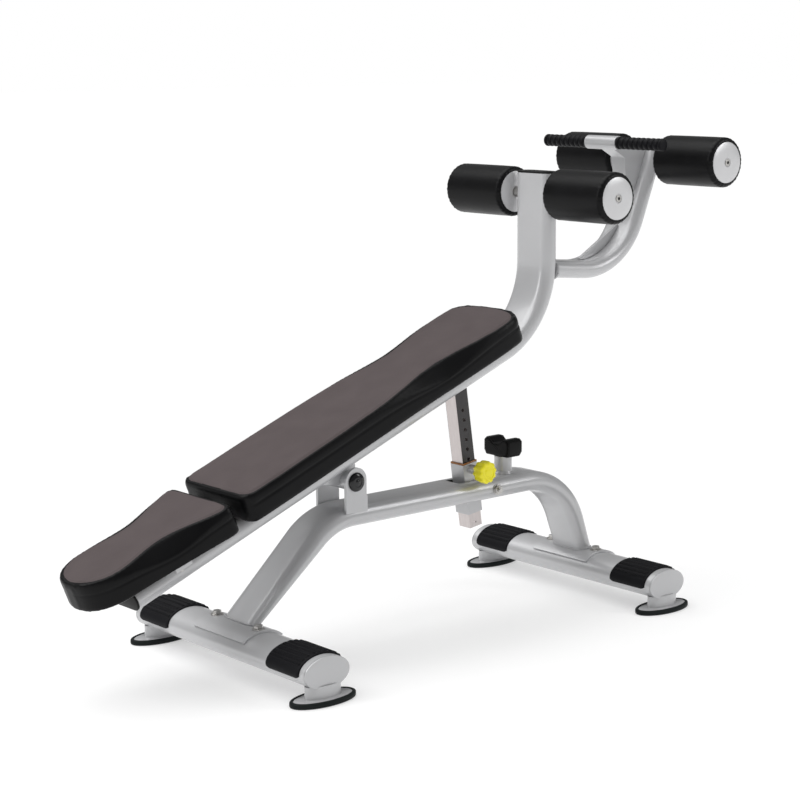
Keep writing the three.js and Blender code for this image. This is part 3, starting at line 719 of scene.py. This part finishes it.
# ---- ankle arm: bent flat-oval tube from the post up to the ankle rollers ----
# Narrower than the boom's tube, it is welded to the back of the post with a gusset in its bend.
ARM_WIDTH = 0.108
ARM_DEPTH = 0.044
arm_route = bent_route([(POST_X + 0.022, 0.8565), (1.230, 0.834, 0.190), (1.3577, 1.150)])
rings = tube_rings(arm_route, ARM_WIDTH, ARM_DEPTH)
top_spot, top_way = arm_route[-1]
for drop, inset in ((0.0, 0.0012), (0.0012, 0.004)):
    spot = top_spot + top_way * (0.0004 + drop)
    rings += tube_rings([(spot, top_way)], ARM_WIDTH - 2 * inset, ARM_DEPTH - 2 * inset)
shaped("ankle_arm_tube", rings, PAINT, "boom", ["ankle_arm"])
post_face = POST_X + TUBE_DEPTH / 2
joint = tube_rings([(Vector((post_face + 0.0008, 0.8546)), Vector((1, 0)))], ARM_WIDTH, ARM_DEPTH, 16)[0]
weld_bead("arm_weld", denser(joint), 0.0030, "boom")


# ---- handle: steel cross tube on the stem, with two ribbed rubber grips ----
# Each grip is moulded with finger ribs and a thicker rolled end.
ease("handle_tube", plain_steel("handle_steel", (0.66, 0.67, 0.68), 0.20), 0.0003)
GRIP_RUBBER = black_rubber("grip_rubber", (0.004, 0.004, 0.005), 0.34, 600.0)
GRIP_RADIUS = 0.016
HANDLE_HALF = 0.208
GRIP_LENGTH = 0.154
handle = middle("handle_tube")
FINGERS = 8
for side, sign in (("left", 1), ("right", -1)):
    profile = [(0.0060, 0.0), (0.0118, 0.0003), (0.0148, 0.0014), (0.0160, 0.0034), (0.0160, 0.0072),
               (0.0150, 0.0088)]
    for i in range(FINGERS * 12 + 1):
        share = i / (FINGERS * 12)
        rib = abs(math.sin(math.pi * share * FINGERS))
        profile.append((GRIP_RADIUS - 0.0030 + 0.0030 * math.sqrt(rib),
                        0.0100 + (GRIP_LENGTH - 0.0190) * share))
    profile += [(0.0152, GRIP_LENGTH - 0.0074), (0.0162, GRIP_LENGTH - 0.0058),
                (0.0162, GRIP_LENGTH - 0.0022), (0.0154, GRIP_LENGTH - 0.0004), (0.0132, GRIP_LENGTH)]
    turned(f"{side}_ribbed_grip", profile, Vector((handle.x, sign * HANDLE_HALF, handle.z)),
           Vector((0, -sign, 0)), GRIP_RUBBER, "boom", [f"{side}_grip"], sides=40)


# ---- rollers: foam sleeves in black vinyl, with silver domed caps held by a socket screw ----
# The vinyl is gathered over each end of the foam and tucked in round the cap.
def black_vinyl(name, dark, light, rough):
    vinyl = Finish(name, Specular_IOR_Level=0.13, Coat_Weight=0.02, Coat_Roughness=0.25)
    mottle = vinyl.noise(22.0, 4.0)
    vinyl.feed("Base Color", vinyl.blend(mottle, (*dark, 1), (*light, 1)))
    grain = vinyl.node("ShaderNodeTexVoronoi", {"feature": "DISTANCE_TO_EDGE"},
                       {"Vector": vinyl.place(), "Scale": 620.0}, 0)
    vinyl.feed("Roughness", rough + 0.12 * mottle)
    vinyl.relief(grain + 0.4 * vinyl.noise(300.0), 0.0003, 0.28)
    return vinyl


ROLLER_VINYL = black_vinyl("roller_vinyl", (0.003, 0.003, 0.003), (0.006, 0.006, 0.007), 0.30)
SILVER_CAP = Finish("silver_roller_cap", Metallic=0.35, Coat_Weight=0.3, Coat_Roughness=0.2)
SILVER_CAP.feed("Base Color", SILVER_CAP.blend(SILVER_CAP.noise(20.0), (0.60, 0.60, 0.61, 1),
                                               (0.68, 0.68, 0.69, 1)))
SILVER_CAP.feed("Roughness", 0.26 + 0.1 * SILVER_CAP.noise(90.0))
SILVER_CAP.relief(SILVER_CAP.noise(700.0, 1.0), 0.0001, 0.15)
ROLLER_RADIUS = 0.0638
ROLLER_LENGTH = 0.200
ROLLER_END = 0.011
CAP_RADIUS = 0.0526
PLEATS = 34


def gathered(a, radius, along):
    """Small pleats where the cover is pulled over the end of the foam."""
    from_end = min(along, ROLLER_LENGTH - along)
    if not 0.0 <= from_end < 0.016 or radius < CAP_RADIUS - 0.001:
        return 0.0
    fade = 1 - from_end / 0.016
    return 0.0007 * fade * (math.sin(PLEATS * a) + 0.5 * math.sin(21 * a + 1.3))


def roller_profile():
    half = []
    for i in range(11):
        a = math.pi / 2 * i / 10
        half.append((ROLLER_RADIUS - ROLLER_END * (1 - math.sin(a)), ROLLER_END * (1 - math.cos(a))))
    half.insert(0, (CAP_RADIUS - 0.002, 0.0022))
    half += [(ROLLER_RADIUS, 0.016), (ROLLER_RADIUS + 0.0003, 0.05),
             (ROLLER_RADIUS + 0.0003, ROLLER_LENGTH / 2)]
    return half + [(radius, ROLLER_LENGTH - along) for radius, along in reversed(half[:-1])]


for place in ("knee", "ankle"):
    for side, sign in (("left", 1), ("right", -1)):
        node = f"{place}_{side}_roller"
        low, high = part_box(node)
        inner = low.y if sign > 0 else high.y
        centre = Vector(((low.x + high.x) / 2, inner, (low.z + high.z) / 2))
        outward = Vector((0, sign, 0))
        turned(f"{node}_foam", roller_profile(), centre, outward, ROLLER_VINYL, f"{node}_body",
               [node], sides=136, lobes=gathered)
        outer_cap = ((CAP_RADIUS - 0.0004, -0.0030), (CAP_RADIUS, -0.0012), (CAP_RADIUS - 0.0006, 0.0004),
                     (0.046, 0.0016), (0.034, 0.0026), (0.020, 0.0032), (0.0118, 0.0034), (0.0108, 0.0026),
                     (0.0104, 0.0012), (0.0060, 0.0010))
        turned(f"{node}_outer_cap", outer_cap, centre + outward * ROLLER_LENGTH, outward, SILVER_CAP,
               f"{node}_body", sides=72)
        inner_cap = ((CAP_RADIUS - 0.0004, -0.0030), (CAP_RADIUS, -0.0012), (CAP_RADIUS - 0.0006, 0.0004),
                     (0.040, 0.0022), (0.022, 0.0030), (0.0150, 0.0032), (0.0132, 0.0022), (0.0130, 0.0))
        turned(f"{node}_inner_cap", inner_cap, centre, -outward, SILVER_CAP, f"{node}_body",
               sides=72)
        screw = centre + outward * (ROLLER_LENGTH + 0.0008)
        head = ((0.0084, 0.0), (0.0086, 0.0008), (0.0086, 0.0026), (0.0080, 0.0034), (0.0046, 0.0036))
        turned(f"{node}_screw", head, screw, outward, ZINC, f"{node}_body", sides=32)
        # Painted shade: a near-black hex disc on the screw head stands in for the shaded hex socket.
        socket = ((0.0044, 0.0037), (0.0042, 0.0012), (0.0008, 0.0008))
        turned(f"{node}_socket_shade_disc", socket, screw, outward, CAP_BLACK, f"{node}_body",
               sides=6)


# ---- adjusting post, its plastic bush, and the pull pin with a yellow knob ----
# A square stainless tube with a row of holes slides in the sleeve, through an amber plastic bush.
# The pin is spring loaded in a barrel on the sleeve and is pulled out by the scalloped knob.
def brushed_stainless():
    """Bright on the plain faces, with a painted dark reflection on the upper length of the two punched side
    faces.
    """
    steel = Finish("brushed_stainless")
    streak = steel.noise(160.0, 3.0, (1, 1, 0.06))
    across = abs(steel.reach(ACROSS))
    height = steel.reach(UP)
    # Painted reflection: the side faces across the bench are painted dark and less metallic above about 0.3
    # m, for the dark surroundings they reflect.
    dark_reflection_mask = steel.band(across, 0.0190, 0.0196) * steel.band(height, 0.27, 0.33)
    bright = steel.blend(streak, (0.55, 0.50, 0.49, 1), (0.70, 0.65, 0.64, 1))
    painted_dark_reflection = steel.blend(streak, (0.035, 0.033, 0.034, 1), (0.060, 0.057, 0.058, 1))
    steel.feed("Base Color", steel.blend(dark_reflection_mask, bright, painted_dark_reflection))
    steel.feed("Metallic", 0.85 - 0.45 * dark_reflection_mask)
    steel.feed("Roughness", 0.28 + 0.16 * streak)
    steel.relief(streak, 0.0002, 0.15)
    return steel


STAINLESS = brushed_stainless()
ease("adjusting_post", STAINLESS, 0.0009)
AMBER = Finish("amber_bush", Coat_Weight=0.1)
AMBER.feed("Base Color", AMBER.blend(AMBER.noise(40.0), (0.30, 0.11, 0.02, 1), (0.42, 0.17, 0.04, 1)))
AMBER.feed("Roughness", 0.45 + 0.1 * AMBER.noise(90.0))
AMBER.relief(AMBER.noise(400.0), 0.0001, 0.2)
ease("sleeve_bush", AMBER, 0.0005)

KNOB_YELLOW = Finish("yellow_knob", Coat_Weight=0.15, Coat_Roughness=0.2)
KNOB_YELLOW.feed("Base Color", KNOB_YELLOW.blend(KNOB_YELLOW.noise(30.0), (0.90, 0.80, 0.006, 1),
                                                 (0.98, 0.90, 0.012, 1)))
KNOB_YELLOW.feed("Roughness", 0.34 + 0.1 * KNOB_YELLOW.noise(70.0))
KNOB_YELLOW.relief(KNOB_YELLOW.noise(420.0, 2.0), 0.0002, 0.25)
KNOB_LOBES = 10


def scallops(a, radius, along):
    if radius < 0.020:
        return 0.0
    return 0.0016 * math.cos(KNOB_LOBES * a)


low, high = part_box("pull_knob")
knob_centre = Vector(((low.x + high.x) / 2, high.y, (low.z + high.z) / 2))
knob_profile = ((0.0052, 0.0), (0.0150, 0.0), (0.0220, 0.0006), (0.0246, 0.0024), (0.0262, 0.0060),
                (0.0270, 0.0140), (0.0272, 0.0270), (0.0266, 0.0298), (0.0250, 0.0318), (0.0224, 0.0328),
                (0.0190, 0.0330), (0.0180, 0.0323), (0.0172, 0.0314), (0.0110, 0.0312), (0.0100, 0.0320),
                (0.0060, 0.0324), (0.0012, 0.0325))
turned("scalloped_knob", knob_profile, knob_centre, Vector((0, -1, 0)), KNOB_YELLOW, "pin",
       ["pull_knob"], sides=120, lobes=scallops)


# ---- pads: foam on a plywood board, wrapped in vinyl ----
# The cover is a brown top panel, waisted in plan, sewn between black side pieces.
# It swells over the foam, draws in at the seams, and is folded under and stapled to the board.
PAD_BASE = 0.0946
PAD_THICK = 0.068
BOARD_THICK = 0.012
WRAP = 0.014


def curve(points, steps=16):
    """Points along a Bezier curve of any degree."""
    spots = []
    for i in range(steps + 1):
        row = [Vector(point) for point in points]
        while len(row) > 1:
            row = [a.lerp(b, i / steps) for a, b in zip(row, row[1:])]
        spots.append(row[0])
    return spots


class Pad:
    """Outline and section of one pad, by distance s along the boom."""

    def __init__(self, outline, start_round, end_round, waist, waist_reach):
        spots = [spot for points in outline for spot in curve(points)]
        self.along = [spot.x for spot in spots]
        self.wide = [spot.y for spot in spots]
        self.start = self.along[0]
        self.end = self.along[-1]
        self.rounds = (start_round, end_round)
        self.waist = waist
        self.waist_reach = waist_reach

    def width(self, s):
        """Half width of the whole pad."""
        return float(np.interp(s, self.along, self.wide))

    def narrowing(self, s):
        """How far the brown panel draws in at the waist."""
        spread = (s - self.waist) / self.waist_reach
        return math.exp(-spread * spread)

    def draw_panel(self):
        """Outline of the brown panel, as distances along the pad and half widths."""
        first, last = self.start + PANEL_END, self.end - PANEL_END
        near = [first + self.rounds[0] * (k / 8) ** 2 for k in range(9)]
        far = [last - self.rounds[1] * (k / 8) ** 2 for k in range(9)][::-1]
        between = [near[-1] + (far[0] - near[-1]) * k / 13 for k in range(1, 13)]
        self.marks = near + between + far
        self.reaches = []
        for s in self.marks:
            spread = self.start + (s - first) * (self.end - self.start) / (last - first)
            self.reaches.append(max(self.width(spread) - PANEL_EDGE - 0.030 * self.narrowing(s), 0.0))

    def panel(self, s):
        """Half width of the brown panel, below zero past its ends."""
        if not self.marks[0] < s < self.marks[-1]:
            return -1.0
        return float(np.interp(s, self.marks, self.reaches))

    def from_seam(self, s, y):
        """Distance in plan from the seam round the brown panel."""
        if s < self.marks[0] or s > self.marks[-1]:
            beyond = max(self.marks[0] - s, s - self.marks[-1])
            inside = abs(y) < self.panel(min(max(s, self.marks[0] + 0.003), self.marks[-1] - 0.003))
            return beyond if inside else 1.0
        slope = (self.panel(min(s + 0.001, self.marks[-1] - 1e-5))
                 - self.panel(max(s - 0.001, self.marks[0] + 1e-5))) / 0.002
        return abs(abs(y) - self.panel(s)) / math.sqrt(1 + slope * slope)

    def section(self, s):
        """Closed section at s, as (y, height)."""
        wide = max(self.width(s), 0.0015)
        from_end = min(s - self.start, self.end - s)
        roll = 1 - math.sqrt(1 - (1 - min(from_end / ROLL, 1.0)) ** 2)
        top = PAD_THICK - 0.85 * ROLL * roll
        foot = 0.004 * roll
        shoulder = 0.010 + 0.023 * self.narrowing(s)
        flat = max(wide - PANEL_EDGE - 0.030 * self.narrowing(s), wide * 0.35)
        half = [(0.0, foot), (wide * 0.5, foot), (wide - 0.005, foot), (wide, foot + 0.005),
                (wide, (top - shoulder) * 0.5), (wide, top - shoulder)]
        half += [(wide + (flat - wide) * k / 6, top - shoulder * (1 - math.sin(math.pi / 2 * k / 6)))
                 for k in range(1, 6)]
        half += [(flat, top), (flat * 0.5, top), (0.0, top)]
        return half + [(-y, n) for y, n in reversed(half[1:-1])]


PANEL_EDGE = 0.0065
PANEL_END = 0.0105
ROLL = 0.011
BACK = Pad([[(-0.338, 0.100), (-0.336, 0.128), (-0.308, 0.128)],
            [(-0.308, 0.128), (-0.018, 0.131), (0.102, 0.122), (0.282, 0.124)],
            [(0.282, 0.124), (0.392, 0.128), (0.504, 0.129), (0.550, 0.122)],
            [(0.550, 0.122), (0.586, 0.112), (0.594, 0.052), (0.594, 0.0)]], 0.030, 0.100, 0.300, 0.120)
HEAD = Pad([[(-0.750, 0.0), (-0.750, 0.0595), (-0.712, 0.094), (-0.650, 0.096)],
            [(-0.650, 0.096), (-0.550, 0.100), (-0.456, 0.114), (-0.390, 0.122)],
            [(-0.390, 0.122), (-0.366, 0.122), (-0.366, 0.098)]], 0.100, 0.024, -0.530, 0.090)
SWELL_CAP = 0.0038
VOXEL = 0.0048
BACK.draw_panel()
HEAD.draw_panel()


def pad_vinyl(name, pad):
    """Brown panel on top inside its seam, smooth black vinyl outside it."""
    cover = Finish(name, Specular_IOR_Level=0.13, Coat_Weight=0.02, Coat_Roughness=0.25)
    place = cover.place()

    def measure(way, start):
        turned_to = cover.node("ShaderNodeVectorMath", {"operation": "DOT_PRODUCT"},
                               {0: place, 1: tuple(way)}, 1)
        return turned_to - start

    s = measure(ALONG, pivot.dot(ALONG))
    n = measure(OUT, pivot.dot(OUT) + PAD_BASE)
    y = abs(measure(ACROSS, 0.0))
    share = (s - pad.start) * (1 / (pad.end - pad.start))
    ramp = cover.tree.nodes.new("ShaderNodeValToRGB")
    cover.tree.links.new(share.socket, ramp.inputs["Fac"])
    bar = ramp.color_ramp
    spots = [(mark - pad.start) / (pad.end - pad.start) for mark in pad.marks]
    bar.elements[0].position = spots[0]
    bar.elements[1].position = spots[-1]
    for spot in spots[1:-1]:
        bar.elements.new(spot)
    for mark, reach in zip(bar.elements, pad.reaches):
        mark.color = (reach * 4, reach * 4, reach * 4, 1)
    edge = Channel(cover, ramp.outputs["Color"]) * 0.25
    inside = cover.band(edge - y, -0.0008, 0.0008)
    on_top = cover.band(n, PAD_THICK - 0.013, PAD_THICK - 0.011)
    within = cover.band(s, pad.marks[0] - 0.0008, pad.marks[0] + 0.0008)
    within = within - cover.band(s, pad.marks[-1] - 0.0008, pad.marks[-1] + 0.0008)
    brown = inside * on_top * within
    mottle = cover.noise(16.0, 4.0)
    browns = cover.blend(mottle, (0.082, 0.066, 0.067, 1), (0.112, 0.092, 0.093, 1))
    blacks = cover.blend(mottle, (0.002, 0.002, 0.0024, 1), (0.0045, 0.0045, 0.005, 1))
    cover.feed("Base Color", cover.blend(brown, blacks, browns))
    cover.feed("Roughness", 0.32 + 0.26 * brown + 0.10 * mottle)
    grain = cover.node("ShaderNodeTexVoronoi", {"feature": "DISTANCE_TO_EDGE"},
                       {"Vector": place, "Scale": 560.0}, 0)
    weave = cover.noise(1100.0, 1.0) * brown
    cover.relief(grain + weave + 0.3 * cover.noise(40.0, 2.0), 0.00035, 0.3)
    return cover


def evened(mesh, values, rounds=24):
    """Spreads each point's travel over its neighbours, as a taut cover has no wrinkles."""
    edges = np.array([edge.vertices[:] for edge in mesh.edges])
    meets = np.bincount(edges.ravel(), minlength=len(values))[:, None]
    for _ in range(rounds):
        total = np.zeros_like(values)
        np.add.at(total, edges[:, 0], values[edges[:, 1]])
        np.add.at(total, edges[:, 1], values[edges[:, 0]])
        values = 0.5 * values + 0.5 * total / np.maximum(meets, 1)
    return values


def swollen(name, rough_shape):
    """Lets the foam press the cover out, with each point's travel capped."""
    remesh = rough_shape.modifiers.new("even_mesh", "REMESH")
    remesh.mode = "VOXEL"
    remesh.voxel_size = VOXEL
    graph = bpy.context.evaluated_depsgraph_get()
    even = bpy.data.meshes.new_from_object(rough_shape.evaluated_get(graph))
    bpy.data.objects.remove(rough_shape)
    soft = bpy.data.objects.new(f"{name}_soft", even)
    scene.collection.objects.link(soft)
    before = np.array([v.co for v in even.vertices])
    facing = np.array([v.normal for v in even.vertices])
    after = before
    cloth = soft.modifiers.new("cover", "CLOTH")
    cloth.settings.use_pressure = True
    cloth.settings.uniform_pressure_force = 4
    cloth.settings.effector_weights.gravity = 0
    cloth.settings.quality = 4
    cloth.collision_settings.use_collision = False
    cloth.point_cache.frame_start = 1
    cloth.point_cache.frame_end = 20
    for number in range(1, 21):
        scene.frame_set(number)
    graph = bpy.context.evaluated_depsgraph_get()
    pressed = soft.evaluated_get(graph).to_mesh()
    after = np.array([v.co for v in pressed.vertices])
    soft.evaluated_get(graph).to_mesh_clear()
    soft.modifiers.clear()
    scene.frame_set(1)
    outward = np.clip(np.sum((after - before) * facing, axis=1), 0.0, 3 * SWELL_CAP)
    held = np.array([(Vector(point) - pivot).dot(OUT) - PAD_BASE < 0.008 for point in before])
    outward[held] = 0.0
    outward = np.minimum(evened(even, outward[:, None]), SWELL_CAP)
    outward[held] = 0.0
    capped = before + facing * outward
    for vertex, point in zip(even.vertices, capped):
        vertex.co = point
    refine = soft.modifiers.new("refined", "SUBSURF")
    refine.levels = 1
    refine.render_levels = 1
    graph = bpy.context.evaluated_depsgraph_get()
    fine = bpy.data.meshes.new_from_object(soft.evaluated_get(graph))
    bpy.data.objects.remove(soft)
    return fine


def tailor(pad, mesh):
    """Draws in the seams, flattens the underside and folds the cover round the board."""
    for vertex in mesh.vertices:
        offset = vertex.co - pivot
        s = offset.dot(ALONG)
        y = offset.y
        n = offset.dot(OUT) - PAD_BASE
        if n > PAD_THICK * 0.6:
            seam = pad.from_seam(s, y)
            pull = 0.0018 * math.exp(-((seam / 0.0026) ** 2))
            piping = 0.0008 * math.exp(-(((seam - 0.0060) / 0.0024) ** 2))
            vertex.co += OUT * (piping - pull)
        side_seam = n - PAD_THICK * (0.62 - 0.20 * pad.narrowing(s))
        if abs(y) > pad.width(s) * 0.86:
            vertex.co -= ACROSS * math.copysign(0.0013 * math.exp(-((side_seam / 0.0028) ** 2)), y)
        folded = pad.start + WRAP < s < pad.end - WRAP and abs(y) < pad.width(s) - WRAP
        if n < 0.006:
            lift = BOARD_THICK + 0.0008 if folded else 0.0
            vertex.co += OUT * (lift - n) if folded else OUT * max(0.0, 0.0003 - n)


for name, pad, board in (("back_pad", BACK, "back_pad_board"), ("head_pad", HEAD, "head_pad_board")):
    rings = []
    for i in range(121):
        s = pad.start + (pad.end - pad.start) * (0.5 - 0.5 * math.cos(math.pi * i / 120))
        probe = min(max(s, pad.start + 0.0012), pad.end - 0.0012)
        rings.append([on_boom(s, y, PAD_BASE + n) for y, n in pad.section(probe)])
    block = bpy.data.meshes.new(f"{name}_block")
    count = len(rings[0])
    quads = [(i * count + k, i * count + (k + 1) % count, (i + 1) * count + (k + 1) % count,
              (i + 1) * count + k) for i in range(len(rings) - 1) for k in range(count)]
    quads += [tuple(reversed(range(count))), tuple(range((len(rings) - 1) * count, len(rings) * count))]
    block.from_pydata([tuple(point) for ring in rings for point in ring], [], quads)
    rough_shape = bpy.data.objects.new(f"{name}_block", block)
    scene.collection.objects.link(rough_shape)
    cover_mesh = swollen(name, rough_shape)
    tailor(pad, cover_mesh)
    cover_mesh.materials.clear()
    cushion = finished(f"{name}_cushion", cover_mesh, pad_vinyl(f"{name}_vinyl", pad), "boom",
                       [name], sharp=180)
    ply = Finish(f"{name}_plywood")
    layer = ply.noise(50.0, 4.0, (1, 8, 1))
    ply.feed("Base Color", ply.blend(layer, (0.020, 0.016, 0.014, 1), (0.050, 0.040, 0.034, 1)))
    ply.feed("Roughness", 0.7 + 0.15 * layer)
    ply.relief(layer, 0.0004, 0.3)
    ease(board, ply, 0.0008)

PAD_SCREWS = ((-0.520, "head"), (-0.190, "lower"), (0.430, "upper"))
for s, name in PAD_SCREWS:
    for side, sign in (("left", 1), ("right", -1)):
        under = on_boom(s, sign * 0.078, BOOM_RISE + TUBE_DEPTH / 2)
        hex_bolt(f"{name}_{side}_pad_screw", under, -OUT, "boom", 0.010, 0.0085)


# ---- floor ----
# A plain pale studio floor under the feet. It takes the shadow of the bench near the middle.
# Further out it fades to an even white glow, so that no horizon shows.
floor_mesh = bpy.data.meshes.new("studio_floor")
FLOOR_HALF = 60.0
corners = [(-FLOOR_HALF, -FLOOR_HALF), (FLOOR_HALF, -FLOOR_HALF), (FLOOR_HALF, FLOOR_HALF),
           (-FLOOR_HALF, FLOOR_HALF)]
floor_mesh.from_pydata([(x, y, -0.0005) for x, y in corners], [], [(0, 1, 2, 3)])
floor = bpy.data.objects.new("studio_floor", floor_mesh)
scene.collection.objects.link(floor)
FADE_FROM = 1.1
FADE_TO = 2.6
NEAR_GREY = (0.62, 0.62, 0.62, 1)
NEAR_GLOW = (0.40, 0.40, 0.40, 1)
FLOOR_WHITE = Finish("studio_floor_white", Specular_IOR_Level=0.1, Emission_Strength=1.0)
spot = FLOOR_WHITE.node("ShaderNodeVectorMath", {"operation": "LENGTH"}, {0: FLOOR_WHITE.place()}, 1)
far = FLOOR_WHITE.band(spot, FADE_FROM, FADE_TO)
FLOOR_WHITE.feed("Base Color", FLOOR_WHITE.blend(far, NEAR_GREY, (0.0, 0.0, 0.0, 1)))
FLOOR_WHITE.feed("Emission Color", FLOOR_WHITE.blend(far, NEAR_GLOW, (1.0, 1.0, 1.0, 1)))
FLOOR_WHITE.feed("Roughness", 0.85 + 0.05 * FLOOR_WHITE.noise(3.0))
floor_mesh.materials.append(FLOOR_WHITE.material)
